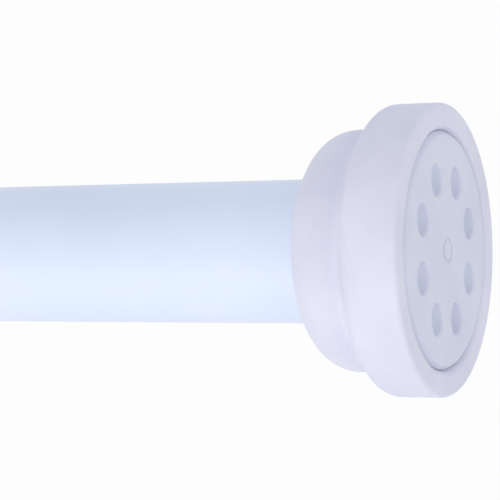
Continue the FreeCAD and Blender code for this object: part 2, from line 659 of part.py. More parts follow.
def spring_advance(turn_number, end_turns, total_turns, wire, length):
    """Give how far along the spring its wire lies after so many turns."""
    working = total_turns - 2 * end_turns
    end_pitch = wire
    pitch = (length - wire - 2 * end_turns * end_pitch) / working
    in_first = min(turn_number, end_turns)
    in_working = min(max(turn_number - end_turns, 0.0), working)
    in_last = max(turn_number - end_turns - working, 0.0)
    return wire / 2 + (in_first + in_last) * end_pitch + in_working * pitch


def spring_ring(middle, along, outward, wire_radius):
    """Give the corners of the wire's section at one place of the coil."""
    across = along.cross(outward)
    corners = []
    for side in range(SPRING_WIRE_SIDES):
        angle = 2 * math.pi * (side + 0.5) / SPRING_WIRE_SIDES
        offset = outward * math.cos(angle) + across * math.sin(angle)
        corners.append(middle + offset * wire_radius)
    return corners


def spring_solid(length, outside_diameter, wire, working_turns):
    """Make the coil as one closed solid, along +X from 0."""
    end_turns = 1.0
    total_turns = working_turns + 2 * end_turns
    radius = (outside_diameter - wire) / 2
    stations = int(round(total_turns * SPRING_STATIONS_PER_TURN))
    middles = []
    for station in range(stations + 1):
        turns = station / SPRING_STATIONS_PER_TURN
        angle = 2 * math.pi * turns
        along = spring_advance(turns, end_turns, total_turns, wire, length)
        middles.append(FreeCAD.Vector(along, radius * math.cos(angle), radius * math.sin(angle)))
    rings = []
    for station, middle in enumerate(middles):
        before = middles[max(station - 1, 0)]
        after = middles[min(station + 1, stations)]
        outward = FreeCAD.Vector(0, middle.y, middle.z).normalize()
        way = (after - before)
        way = (way - outward * way.dot(outward)).normalize()
        rings.append(spring_ring(middle, way, outward, wire / 2))
    faces = []
    for first, second in zip(rings, rings[1:]):
        for side in range(SPRING_WIRE_SIDES):
            following = (side + 1) % SPRING_WIRE_SIDES
            for corners in ((first[side], first[following], second[following]),
                            (first[side], second[following], second[side])):
                faces.append(Part.Face(Part.makePolygon(list(corners) + [corners[0]])))
    for ring in (rings[0], rings[-1]):
        faces.append(Part.Face(Part.makePolygon(ring + [ring[0]])))
    solid = Part.Solid(Part.Shell(faces))
    if solid.Volume < 0:
        solid.reverse()
    return solid


spring = document.addObject("Part::Feature", "Spring")
spring.Label = "spring"
spring.Shape = spring_solid(value("spring_length"), value("spring_diameter"), value("spring_wire"),
                            value("spring_turns"))
put(spring, SPRING_LEFT)

# Check and write

document.recompute()
failed = [item.Label for item in document.Objects if "Invalid" in item.State or "Error" in item.State]
if failed:
    raise RuntimeError("failed features: " + ", ".join(failed))
parts = [item for item in document.Objects
         if item.TypeId in ("PartDesign::Body", "Part::Torus", "Part::Feature")]
for part in parts:
    if part.Shape.isNull() or not part.Shape.isValid() or len(part.Shape.Solids) != 1:
        raise RuntimeError("bad shape: " + part.Label)
os.makedirs("parts", exist_ok=True)
for part in parts:
    part.Shape.exportStep("parts/%s.step" % part.Label)
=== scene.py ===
import logging
import math
from collections.abc import Callable, Sequence
from dataclasses import dataclass, field
from enum import Enum

import bpy
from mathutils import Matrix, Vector


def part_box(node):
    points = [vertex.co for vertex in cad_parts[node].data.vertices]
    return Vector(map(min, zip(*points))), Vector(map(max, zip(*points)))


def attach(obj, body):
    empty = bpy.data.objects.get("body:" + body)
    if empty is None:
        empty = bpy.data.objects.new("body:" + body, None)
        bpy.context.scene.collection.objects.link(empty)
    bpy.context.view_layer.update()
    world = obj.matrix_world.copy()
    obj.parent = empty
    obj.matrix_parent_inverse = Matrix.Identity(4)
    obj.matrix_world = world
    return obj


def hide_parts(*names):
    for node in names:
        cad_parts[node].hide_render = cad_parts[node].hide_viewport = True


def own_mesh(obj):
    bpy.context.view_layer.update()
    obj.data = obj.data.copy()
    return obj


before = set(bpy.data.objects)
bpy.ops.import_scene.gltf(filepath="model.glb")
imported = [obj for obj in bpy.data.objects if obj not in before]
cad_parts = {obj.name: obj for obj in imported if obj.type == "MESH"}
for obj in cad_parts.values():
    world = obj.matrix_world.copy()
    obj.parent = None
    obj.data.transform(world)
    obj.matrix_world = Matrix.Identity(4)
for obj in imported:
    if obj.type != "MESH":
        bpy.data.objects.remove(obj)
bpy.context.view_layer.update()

Material = bpy.types.Material
Piece = bpy.types.Object
Socket = bpy.types.NodeSocket
Pair = tuple[float, float]
Triple = tuple[float, float, float]

log = logging.getLogger("tension_rod")

MM = 0.001
TURN = 2.0 * math.pi
SAME_PLACE = 0.004 * MM
ROD_LINE = (0.0, 0.0, 0.0)
ALONG_ROD = (1.0, 0.0, 0.0)
ROUND_ROD = (0.0, math.pi / 2.0, 0.0)
WHITE = (1.0, 1.0, 1.0, 1.0)
SHARP_ANGLE = 32.0
SOFT_ANGLE = 40.0
SMALL_ARC_STEPS = 8
ARC_STEPS = 12
LONG_ARC_STEPS = 24


class End(Enum):
    """The two ends of the rod."""

    RIGHT = "right"
    LEFT = "left"

    @property
    def inward(self) -> float:
        """Way along X that leads from this end's wall into the rod."""
        return -1.0 if self is End.RIGHT else 1.0

    @property
    def body(self) -> str:
        """Frame body that this end belongs to."""
        return "outer_half" if self is End.RIGHT else "inner_half"


class Slot(Enum):
    """Material slots of the record."""

    TUBE_PAINT = "tube_paint"
    FOOT_RUBBER = "foot_rubber"
    FOOT_PLASTIC = "foot_plastic"
    GUIDE_PLASTIC = "guide_plastic"
    LOCK_PLASTIC = "lock_plastic"
    DRAG_RUBBER = "drag_rubber"
    STEEL = "steel"
    SPRING_STEEL = "spring_steel"


# Node trees and finishes


class Term:
    """A shader number that takes part in plain arithmetic."""

    def __init__(self, sheet: "NodeSheet", socket: Socket) -> None:
        """Keep the socket and the node tree that it stands in."""
        self.sheet = sheet
        self.socket = socket

    def combined(self, operation: str, first: "Term | float", second: "Term | float") -> "Term":
        """Add one Math node.

        Args:
            operation: the node's operation.
            first: its first number.
            second: its second number.

        Returns:
            The node's result.
        """
        made = self.sheet.node("ShaderNodeMath", {0: first, 1: second}, operation=operation)
        return Term(self.sheet, made.outputs[0])

    def __add__(self, other: "Term | float") -> "Term":
        """Sum."""
        return self.combined("ADD", self, other)

    __radd__ = __add__

    def __sub__(self, other: "Term | float") -> "Term":
        """Difference."""
        return self.combined("SUBTRACT", self, other)

    def __rsub__(self, other: float) -> "Term":
        """Difference from a number."""
        return self.combined("SUBTRACT", other, self)

    def __mul__(self, other: "Term | float") -> "Term":
        """Product."""
        return self.combined("MULTIPLY", self, other)

    __rmul__ = __mul__


class NodeSheet:
    """A node tree under construction."""

    def __init__(self, tree: bpy.types.NodeTree) -> None:
        """Start with an empty tree."""
        self.tree = tree
        self.tree.nodes.clear()

    def node(self, kind: str, values: dict | None = None, **settings: object) -> bpy.types.Node:
        """Add a node.

        Args:
            kind: the node's type.
            values: numbers, colours, sockets or terms for its inputs, by name or number.
            settings: properties, set before the inputs.

        Returns:
            The new node.
        """
        made = self.tree.nodes.new(kind)
        for name, setting in settings.items():
            setattr(made, name, setting)
        for name, item in (values or {}).items():
            self.feed(made.inputs[name], item)
        return made

    def feed(self, target: Socket, item: object) -> None:
        """Link an input, or set it where it takes a plain value.

        Args:
            target: the input.
            item: a term or a socket to link, or a number or a colour.
        """
        source = item.socket if isinstance(item, Term) else item
        if isinstance(source, Socket):
            self.tree.links.new(source, target)
        else:
            target.default_value = source

    def blend(self, share: Term | Socket, first: Triple, second: Triple) -> Socket:
        """Mix two colours by a share of the second.

        Args:
            share: share of the second colour.
            first: colour at 0.
            second: colour at 1.

        Returns:
            The mixed colour.
        """
        made = self.node("ShaderNodeMix", {
            "Factor": share, "A": (*first, 1.0), "B": (*second, 1.0)}, data_type="RGBA")
        return made.outputs["Result"]

    def background_rays(self) -> Term:
        """Give 1 for camera, glossy and transmission rays, which see the background.

        Returns:
            1 for these rays, 0 for the others.
        """
        rays = self.node("ShaderNodeLightPath").outputs
        camera, glossy, through = (
            Term(self, rays[f"Is {kind} Ray"]) for kind in ("Camera", "Glossy", "Transmission"))
        made = self.node("ShaderNodeClamp", {"Value": camera + glossy + through})
        return Term(self, made.outputs["Result"])


class Paint(NodeSheet):
    """A material under construction, with its Principled shader."""

    def __init__(self, name: str) -> None:
        """Start a material with nothing but a Principled shader and an output.

        Args:
            name: the material's name.
        """
        self.material = bpy.data.materials.new(name)
        self.material.use_nodes = True
        super().__init__(self.material.node_tree)
        self.output = self.node("ShaderNodeOutputMaterial")
        self.shader = self.node("ShaderNodeBsdfPrincipled")
        self.tree.links.new(self.shader.outputs["BSDF"], self.output.inputs["Surface"])
        self.place = self.node("ShaderNodeTexCoord").outputs["Object"]

    def noise(self, scale: float, detail: float = 3.0, where: Socket | None = None) -> Term:
        """Give soft noise.

        Args:
            scale: waves for each metre.
            detail: octaves.
            where: coordinates, or None for the object's own.

        Returns:
            A number about 0.5.
        """
        made = self.node("ShaderNodeTexNoise", {
            "Vector": where or self.place, "Scale": scale, "Detail": detail, "Roughness": 0.55})
        return Term(self, made.outputs["Fac"])

    def streaks(self, scale: Triple) -> Term:
        """Give soft noise with its own waves for each metre of X, Y and Z."""
        where = self.node("ShaderNodeMapping", {"Vector": self.place, "Scale": scale}).outputs[0]
        return self.noise(1.0, 2.0, where)

    def clouds(self, scale: float, detail: float = 4.0, edge: float = 0.3) -> Term:
        """Give noise with its middle stretched from 0 to 1.

        Args:
            scale: waves for each metre.
            detail: octaves.
            edge: noise level that becomes 0; the one as far below 1 becomes 1.

        Returns:
            A number from 0 to 1.
        """
        made = self.node("ShaderNodeMapRange", {
            "Value": self.noise(scale, detail), "From Min": edge, "From Max": 1.0 - edge})
        return Term(self, made.outputs["Result"])

    def dent(self, height: Term, depth: float, after: Socket | None = None) -> Socket:
        """Give a normal roughened by a height.

        Args:
            height: the height, 0 to 1.
            depth: what a height of 1 stands for, in metres.
            after: a normal to start from.

        Returns:
            The normal.
        """
        values = {"Height": height, "Distance": depth, "Strength": 1.0}
        if after is not None:
            values["Normal"] = after
        return self.node("ShaderNodeBump", values).outputs["Normal"]

    def wire(self, name: str, source: Term | Socket) -> None:
        """Feed one input of the shader."""
        self.feed(self.shader.inputs[name], source)

    def vary_roughness(self, share: Term, level: float, spread: float) -> None:
        """Let a share of 0 to 1 move the roughness about its level."""
        self.wire("Roughness", level + spread * (share - 0.5))

    def fix(self, **levels: float | tuple[float, ...]) -> None:
        """Set plain values on the shader, names written with _ for a space."""
        for name, level in levels.items():
            self.shader.inputs[name.replace("_", " ")].default_value = level


def scene_light(level: int) -> float:
    """Turn a screen level of 0 to 255 into scene light."""
    share = level / 255.0
    return share / 12.92 if share <= 0.04045 else ((share + 0.055) / 1.055) ** 2.4


def srgb(red: int, green: int, blue: int) -> Triple:
    """Turn a screen colour into scene light."""
    return scene_light(red), scene_light(green), scene_light(blue)


@dataclass(frozen=True)
class SatinPaint:
    """Baked paint on the tubes: smooth, pale blue, with a faint orange peel."""

    name: str = "satin_tube_paint"
    light: Triple = srgb(230, 237, 252)
    shade: Triple = srgb(224, 232, 249)
    roughness: float = 0.50
    cloud_scale: float = 38.0
    peel_scale: float = 620.0
    peel_depth: float = 0.006 * MM
    draw_line_scale: Triple = (4.0, 260.0, 260.0)
    draw_line_spread: float = 0.06

    def make(self) -> Material:
        """Build the material.

        Returns:
            The material.
        """
        paint = Paint(self.name)
        clouds = paint.clouds(self.cloud_scale)
        paint.wire("Base Color", paint.blend(clouds, self.light, self.shade))
        lines = paint.streaks(self.draw_line_scale)
        paint.vary_roughness(lines, self.roughness, self.draw_line_spread)
        paint.wire("Normal", paint.dent(paint.noise(self.peel_scale, 2.0), self.peel_depth))
        paint.fix(Coat_Weight=0.15, Coat_Roughness=0.18, Specular_IOR_Level=0.5)
        return paint.material


@dataclass(frozen=True)
class SoftRubber:
    """Moulded soft rubber of the feet: matte, lilac grey, with a cloudy tone and a fine grain."""

    name: str = "soft_foot_rubber"
    light: Triple = srgb(232, 230, 241)
    shade: Triple = srgb(224, 222, 236)
    roughness: float = 0.62
    cloud_scale: float = 75.0
    grain_scale: float = 2600.0
    grain_depth: float = 0.010 * MM
    grain_spread: float = 0.12
    swell_scale: float = 160.0
    swell_depth: float = 0.035 * MM

    def make(self) -> Material:
        """Build the material.

        Returns:
            The material.
        """
        paint = Paint(self.name)
        clouds = paint.clouds(self.cloud_scale, 5.0, 0.32)
        paint.wire("Base Color", paint.blend(clouds, self.light, self.shade))
        grain = paint.noise(self.grain_scale)
        paint.vary_roughness(grain, self.roughness, self.grain_spread)
        swell = paint.dent(paint.noise(self.swell_scale, 2.0), self.swell_depth)
        paint.wire("Normal", paint.dent(grain, self.grain_depth, swell))
        paint.fix(Specular_IOR_Level=0.32, Sheen_Weight=0.06, Sheen_Roughness=0.5)
        return paint.material


@dataclass(frozen=True)
class MouldedPlastic:
    """Moulded plastic with a fine spark-eroded grain."""

    name: str
    light: Triple
    shade: Triple
    roughness: float = 0.48
    cloud_scale: float = 90.0
    grain_scale: float = 3200.0
    grain_depth: float = 0.008 * MM
    grain_spread: float = 0.14

    def make(self) -> Material:
        """Build the material.

        Returns:
            The material.
        """
        paint = Paint(self.name)
        clouds = paint.clouds(self.cloud_scale)
        paint.wire("Base Color", paint.blend(clouds, self.light, self.shade))
        grain = paint.noise(self.grain_scale)
        paint.vary_roughness(grain, self.roughness, self.grain_spread)
        paint.wire("Normal", paint.dent(grain, self.grain_depth))
        paint.fix(Specular_IOR_Level=0.42)
        return paint.material


@dataclass(frozen=True)
class TurnedSteel:
    """Plated steel with fine turning lines round the rod's middle line."""

    name: str
    light: Triple
    shade: Triple
    roughness: float = 0.30
    line_scale: Triple = (5200.0, 60.0, 60.0)
    line_depth: float = 0.004 * MM
    line_spread: float = 0.12
    tone_scale: float = 140.0
    tone_spread: float = 0.06

    def make(self) -> Material:
        """Build the material.

        Returns:
            The material.
        """
        paint = Paint(self.name)
        tone = paint.clouds(self.tone_scale, 2.0)
        lines = paint.streaks(self.line_scale)
        paint.wire("Base Color", paint.blend(tone, self.light, self.shade))
        paint.wire("Roughness", self.roughness + self.line_spread * (lines - 0.5)
                   + self.tone_spread * (tone - 0.5))
        paint.wire("Normal", paint.dent(lines, self.line_depth))
        paint.fix(Metallic=1.0)
        return paint.material


@dataclass(frozen=True)
class BlackRubber:
    """Black rubber of the drag ring, with a dusty bloom."""

    name: str = "black_ring_rubber"
    light: Triple = (0.028, 0.028, 0.030)
    shade: Triple = (0.014, 0.014, 0.015)
    roughness: float = 0.58
    bloom_scale: float = 700.0
    bloom_spread: float = 0.16
    grain_depth: float = 0.006 * MM

    def make(self) -> Material:
        """Build the material.

        Returns:
            The material.
        """
        paint = Paint(self.name)
        bloom = paint.noise(self.bloom_scale, 4.0)
        paint.wire("Base Color", paint.blend(bloom, self.shade, self.light))
        paint.vary_roughness(bloom, self.roughness, self.bloom_spread)
        paint.wire("Normal", paint.dent(bloom, self.grain_depth))
        return paint.material


@dataclass
class Finishes:
    """The finishes of the rod, one material for each slot of the record."""

    materials: dict[Slot, Material] = field(default_factory=dict)

    def __post_init__(self) -> None:
        """Build every material once."""
        zinc = TurnedSteel("zinc_plated_steel", (0.60, 0.61, 0.63), (0.46, 0.47, 0.50))
        wire = TurnedSteel("drawn_spring_wire", (0.40, 0.41, 0.43), (0.28, 0.29, 0.31), 0.36,
                           (60.0, 900.0, 900.0))
        self.materials = {
            Slot.TUBE_PAINT: SatinPaint().make(),
            Slot.FOOT_RUBBER: SoftRubber().make(),
            Slot.FOOT_PLASTIC: MouldedPlastic(
                "foot_disc_plastic", srgb(223, 225, 237), srgb(216, 218, 232)).make(),
            Slot.GUIDE_PLASTIC: MouldedPlastic(
                "guide_plastic", srgb(229, 233, 243), srgb(223, 228, 240), 0.40).make(),
            Slot.LOCK_PLASTIC: MouldedPlastic(
                "lock_plastic", srgb(226, 225, 220), srgb(216, 214, 207), 0.44).make(),
            Slot.DRAG_RUBBER: BlackRubber().make(),
            Slot.STEEL: zinc.make(),
            Slot.SPRING_STEEL: wire.make(),
        }

    def dress(self, piece: Piece, slot: Slot) -> None:
        """Give a piece the one material of its slot, and log its size.

        Args:
            piece: the piece to dress.
            slot: its slot in the record.
        """
        piece.data.materials.clear()
        piece.data.materials.append(self.materials[slot])
        log.info("%s: %d faces", piece.name, len(piece.data.polygons))


# Modelling by hand operations


def deselect_all() -> None:
    """Leave edit mode and select nothing, before whatever comes next."""
    if bpy.context.mode != "OBJECT":
        bpy.ops.object.mode_set(mode="OBJECT")
    bpy.ops.object.select_all(action="DESELECT")


def make_active(piece: Piece) -> None:
    """Select one piece alone.

    Args:
        piece: the piece to select.
    """
    deselect_all()
    piece.select_set(True)
    bpy.context.view_layer.objects.active = piece


def apply_modifier(piece: Piece, kind: str, **settings: object) -> None:
    """Add a modifier and apply it.

    Args:
        piece: the piece to change.
        kind: the modifier's type.
        settings: the modifier's properties.
    """
    make_active(piece)
    modifier = piece.modifiers.new(kind.title(), kind)
    for name, setting in settings.items():
        setattr(modifier, name, setting)
    bpy.ops.object.modifier_apply(modifier=modifier.name)


def bake_place() -> None:
    """Take the active piece's place, turn and scale into its mesh."""
    bpy.ops.object.transform_apply(location=True, rotation=True, scale=True)


def edit_all(piece: Piece) -> None:
    """Open a piece in edit mode with all of it selected.

    Args:
        piece: the piece to open.
    """
    make_active(piece)
    bpy.ops.object.mode_set(mode="EDIT")
    bpy.ops.mesh.select_all(action="SELECT")


def combine(piece: Piece, tool: Piece, operation: str) -> None:
    """Use up a tool on a piece.

    Args:
        piece: the piece to change.
        tool: the solid that is merged with it or cuts it.
        operation: UNION, DIFFERENCE or INTERSECT.
    """
    apply_modifier(piece, "BOOLEAN", operation=operation, object=tool, solver="EXACT")
    bpy.data.objects.remove(tool)


def trim_ends(piece: Piece, low: float, high: float) -> None:
    """Cut a piece off flat at two places on X and close the cuts, in edit mode.

    Args:
        piece: the piece to trim.
        low: where it is to start.
        high: where it is to end.
    """
    edit_all(piece)
    for place, above in ((low, False), (high, True)):
        bpy.ops.mesh.select_all(action="SELECT")
        bpy.ops.mesh.bisect(plane_co=(place, 0.0, 0.0), plane_no=ALONG_ROD, use_fill=True,
                            clear_outer=above, clear_inner=not above)


def smooth(piece: Piece, angle: float = SHARP_ANGLE) -> None:
    """Shade a piece smooth apart from edges sharper than an angle in degrees, its flats flat.

    Args:
        piece: the piece to shade.
        angle: edges sharper than this many degrees stay sharp.
    """
    make_active(piece)
    bpy.ops.object.shade_smooth_by_angle(angle=math.radians(angle))
    apply_modifier(piece, "WEIGHTED_NORMAL", mode="FACE_AREA", weight=50, keep_sharp=True)


def select_edges(piece: Piece, wanted: Callable[[Vector, Vector], bool]) -> None:
    """Select the edges whose two ends pass a test, in edit mode.

    Args:
        piece: the piece in edit mode.
        wanted: the test on an edge's two ends.
    """
    bpy.ops.mesh.select_mode(type="EDGE")
    bpy.ops.mesh.select_all(action="DESELECT")
    bpy.ops.object.mode_set(mode="OBJECT")
    for edge in piece.data.edges:
        edge.select = wanted(*(piece.data.vertices[index].co for index in edge.vertices))
    bpy.ops.object.mode_set(mode="EDIT")


@dataclass
class Ring:
    """One ring of a turned piece: its place, its radius and how far its edge is rounded off."""

    along: float
    radius: float
    round_off: float = 0.0
    steps: int = 4

    def holds(self, *ends: Vector) -> bool:
        """Tell whether the ends of an edge lie on this ring."""
        return all(abs(end.x - self.along) < SAME_PLACE
                   and abs(math.hypot(end.y, end.z) - self.radius) < SAME_PLACE for end in ends)


def turn(name: str, rings: Sequence[Ring], sides: int, hollow: bool = False,
         angle: float = SHARP_ANGLE) -> Piece:
    """Turn a piece round the rod's middle line, ring by ring.

    Args:
        name: the piece's name.
        rings: its rings in order along the section.
        sides: corners of each ring.
        hollow: whether the last ring is joined to the first, or else both are filled.
        angle: edges sharper than this many degrees stay sharp.

    Returns:
        The finished piece.
    """
    first = rings[0]
    deselect_all()
    bpy.ops.mesh.primitive_circle_add(
        vertices=sides, radius=first.radius, fill_type="NOTHING",
        location=(first.along, 0.0, 0.0), rotation=ROUND_ROD)
    piece = bpy.context.active_object
    piece.name = name
    bake_place()
    edit_all(piece)
    for before, ring in zip(rings, rings[1:]):
        step, scale = ring.along - before.along, ring.radius / before.radius
        bpy.ops.mesh.extrude_edges_move(TRANSFORM_OT_translate={"value": (step, 0.0, 0.0)})
        bpy.ops.transform.resize(value=(1.0, scale, scale), center_override=(ring.along, 0.0, 0.0))
    if hollow:
        bpy.ops.mesh.select_all(action="DESELECT")
        bpy.ops.mesh.select_mode(type="EDGE")
        bpy.ops.mesh.select_non_manifold()
        bpy.ops.mesh.bridge_edge_loops()
    for ring in () if hollow else (first, rings[-1]):
        select_edges(piece, ring.holds)
        bpy.ops.mesh.edge_face_add()
    for ring in rings:
        if ring.round_off > 0.0:
            select_edges(piece, ring.holds)
            bpy.ops.mesh.bevel(offset_type="OFFSET", offset=ring.round_off,
                               segments=ring.steps, affect="EDGES")
    bpy.ops.mesh.select_all(action="SELECT")
    bpy.ops.mesh.normals_make_consistent(inside=False)
    smooth(piece, angle)
    return piece


def arc(centre: Pair, radius: float, start: float, stop: float,
        steps: int = ARC_STEPS) -> list[Ring]:
    """Give the rings of a round stretch of a section.

    Args:
        centre: place along the rod and distance from its middle line.
        radius: the arc's radius.
        start: first angle in degrees, 0 along +X and 90 outwards.
        stop: last angle in degrees.
        steps: stretches between the rings.

    Returns:
        The rings, first and last included.
    """
    angles = [math.radians(start + (stop - start) * step / steps) for step in range(steps + 1)]
    return [Ring(centre[0] + radius * math.cos(angle), centre[1] + radius * math.sin(angle))
            for angle in angles]


# Feet


@dataclass
class Foot:
    """A rubber boot stretched over a hard plug whose disc shows in the boot's rim."""

    end: End
    tube_node: str
    foot_radius: float = 24.75 * MM
    foot_rim: float = 7.8 * MM
    rim_round: float = 0.85 * MM
    shoulder_round: float = 2.5 * MM
    shoulder_slope: float = 66.0
    crease_round: float = 1.8 * MM
    dome: Pair = (15.2 * MM, 14.0 * MM)
    dome_round: float = 6.7 * MM
    neck_lip: float = 0.9 * MM
    neck_round: float = 0.3 * MM
    neck_grip: float = 2.6 * MM
    boot_wall: float = 2.4 * MM
    lip_depth: float = 2.6 * MM
    disc_radius: float = 20.1 * MM
    groove_width: float = 0.08 * MM
    groove_slope: Pair = (1.0 * MM, 0.8 * MM)
    groove_round: float = 0.4 * MM
    flange_depth: float = 2.9 * MM
    face_gap: float = 0.1 * MM
    disc_thickness: float = 3.6 * MM
    gate_ring: Pair = (1.7 * MM, 2.2 * MM)
    gate_depth: float = 0.15 * MM
    dimple_circle: float = 12.5 * MM
    dimple_radius: float = 2.7 * MM
    dimple_depth: float = 2.7 * MM
    dimple_lip: float = 0.7 * MM
    flare_angle: float = 10.0
    flare_rise: float = 0.02 * MM
    dimple_count: int = 8
    tube_seat: float = 9.0 * MM
    fixed_gap: float = 0.03 * MM
    hub_wall: float = 2.0 * MM
    hub_length: float = 9.0 * MM
    spigot_length: float = 22.0 * MM
    spigot_wall: float = 2.2 * MM
    spigot_play: float = 0.35 * MM
    spigot_lead: Pair = (2.0 * MM, 1.0 * MM)
    rib_start: float = 0.5 * MM
    rib_size: Pair = (1.2 * MM, 1.1 * MM)
    rib_count: int = 6
    web_foot: float = 0.5 * MM
    web_size: Pair = (5.5 * MM, 1.4 * MM)
    web_play: float = 0.8 * MM
    web_count: int = 8
    tube_wall: float = 0.6 * MM
    boot_sides: int = 192
    plug_sides: int = 128
    dimple_sides: int = 64

    def __post_init__(self) -> None:
        """Take the wall face and the tube's radius from the frame."""
        low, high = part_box(self.plug_node)
        self.wall = high.x if self.end is End.RIGHT else low.x
        tube_low, tube_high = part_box(self.tube_node)
        self.tube_radius = (tube_high.z - tube_low.z) / 2.0
        self.seat_radius = self.tube_radius + self.fixed_gap
        self.hub_radius = self.seat_radius + self.hub_wall
        self.flange_back = self.lip_depth + self.flange_depth

    @property
    def plug_node(self) -> str:
        """Frame node of the plug."""
        return f"{self.end.value}_foot_plug"

    @property
    def boot_node(self) -> str:
        """Frame node of the boot."""
        return f"{self.end.value}_foot_boot"

    def placed(self, rings: Sequence[Ring]) -> list[Ring]:
        """Move rings, given by their distance from the wall, to their place on the rod.

        Args:
            rings: rings with their distance from the wall.

        Returns:
            The rings with their place on X.
        """
        return [
            Ring(self.wall + self.end.inward * ring.along, ring.radius, ring.round_off, ring.steps)
            for ring in rings]

    def shoulder(self) -> list[Ring]:
        """Give the rings from the soft crease over the sloping shoulder to the rim.

        Returns:
            The rings, from the crease outwards.
        """
        slope = math.radians(self.shoulder_slope)
        down = Vector((math.cos(slope), -math.sin(slope)))
        out = Vector((math.sin(slope), math.cos(slope)))
        middle = Vector((self.foot_rim, self.foot_radius - self.shoulder_round))
        start = middle + out * self.shoulder_round
        to_dome = Vector(self.dome) - start
        reach = self.dome_round + self.crease_round
        rise = self.crease_round - to_dome.dot(out)
        run = to_dome.dot(down) - math.sqrt(reach ** 2 - rise ** 2)
        crease = start + down * run + out * self.crease_round
        towards = Vector(self.dome) - crease
        first = 360.0 + math.degrees(math.atan2(towards.y, towards.x))
        return [
            *arc(tuple(crease), self.crease_round, first, 270.0 - self.shoulder_slope),
            *arc(tuple(middle), self.shoulder_round, 90.0 - self.shoulder_slope, 90.0),
        ]

    def boot(self) -> Piece:
        """Turn the boot.

        Returns:
            The finished boot.
        """
        opening = self.disc_radius + self.groove_width
        slope_depth, slope_width = self.groove_slope
        cavity = self.foot_radius - self.boot_wall
        dome_along, dome_out = self.dome
        neck_angle = math.degrees(math.asin(self.neck_lip / self.dome_round))
        neck_tip = dome_along + self.dome_round * math.cos(math.radians(neck_angle))
        grip_start = neck_tip - self.neck_grip
        inner_round = self.dome_round - self.boot_wall
        grip_angle = math.degrees(math.acos((grip_start - dome_along) / inner_round))
        shoulder = self.shoulder()
        crease_angle = math.degrees(math.acos((shoulder[0].along - dome_along) / self.dome_round))
        dome = arc(self.dome, self.dome_round, neck_angle, crease_angle, LONG_ARC_STEPS)
        dome[0].round_off = self.neck_round
        rings = [
            Ring(slope_depth, opening),
            Ring(self.lip_depth, opening),
            Ring(self.lip_depth, cavity),
            Ring(self.flange_back + self.face_gap, cavity),
            Ring(dome_along - 2.0 * self.boot_wall, dome_out + inner_round),
            *arc(self.dome, inner_round, 90.0, grip_angle),
            Ring(grip_start, self.seat_radius),
            Ring(neck_tip, self.seat_radius, self.neck_round),
            *dome[:-1],
            *shoulder,
            *arc((self.rim_round, self.foot_radius - self.rim_round), self.rim_round, 90.0, 180.0,
                 SMALL_ARC_STEPS),
            Ring(0.0, opening + slope_width, self.groove_round),
        ]
        piece = turn(self.boot_node + "_rubber", self.placed(rings), self.boot_sides, hollow=True,
                     angle=SOFT_ANGLE)
        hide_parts(self.boot_node)
        return piece

    def plug_body(self) -> Piece:
        """Turn the plug without its ribs, webs and dimples.

        Returns:
            The plain plug.
        """
        hub_end = self.tube_seat + self.hub_length
        spigot = self.tube_radius - self.tube_wall - self.spigot_play
        spigot_end = self.tube_seat + self.spigot_length
        flange = self.foot_radius - self.boot_wall - self.face_gap
        slope_depth, slope_width = self.groove_slope
        flange_front = self.lip_depth + self.face_gap
        floor = self.tube_seat - self.face_gap
        rings = [
            Ring(0.0, self.gate_ring[0]),
            Ring(self.gate_depth, self.gate_ring[0]),
            Ring(self.gate_depth, self.gate_ring[1]),
            Ring(0.0, self.gate_ring[1]),
            Ring(0.0, self.disc_radius - slope_width, self.groove_round),
            Ring(slope_depth, self.disc_radius),
            Ring(flange_front, self.disc_radius),
            Ring(flange_front, flange),
            Ring(self.flange_back, flange),
            Ring(self.flange_back, self.hub_radius),
            Ring(hub_end, self.hub_radius),
            Ring(hub_end, self.seat_radius),
            Ring(floor, self.seat_radius),
            Ring(floor, spigot),
            Ring(spigot_end - self.spigot_lead[0], spigot),
            Ring(spigot_end, spigot - self.spigot_lead[1]),
            Ring(spigot_end, spigot - self.spigot_wall),
            Ring(self.disc_thickness, spigot - self.spigot_wall),
        ]
        return turn(self.plug_node + "_plastic", self.placed(rings), self.plug_sides)

    def bar(self, start: float, stop: float, low: float, high: float, thickness: float) -> Piece:
        """Add an upright bar beside the rod's middle line.

        Args:
            start: distance from the wall where it starts.
            stop: distance from the wall where it ends.
            low: inner radius.
            high: outer radius.
            thickness: thickness round the rod.

        Returns:
            The bar, without holes or bevels.
        """
        deselect_all()
        middle = self.wall + self.end.inward * (start + stop) / 2.0
        bpy.ops.mesh.primitive_cube_add(size=1.0, location=(middle, 0.0, (low + high) / 2.0))
        made = bpy.context.active_object
        made.scale = (stop - start, thickness, high - low)
        bake_place()
        return made

    def slope_web(self, web: Piece, foot: float) -> None:
        """Slope the free side of a web, so that it is half as long at its top.

        Args:
            web: the web as a plain bar.
            foot: radius where the slope starts.
        """
        half = self.web_size[0] / 2.0
        middle = self.wall + self.end.inward * (self.flange_back + half)
        edit_all(web)
        bpy.ops.mesh.bisect(plane_co=(0.0, 0.0, foot), plane_no=(0.0, 0.0, 1.0))
        select_edges(web, lambda *ends: all(
            place.z > foot + self.web_play and self.end.inward * (place.x - middle) > 0.0
            for place in ends))
        bpy.ops.transform.translate(value=(-self.end.inward * half, 0.0, 0.0))

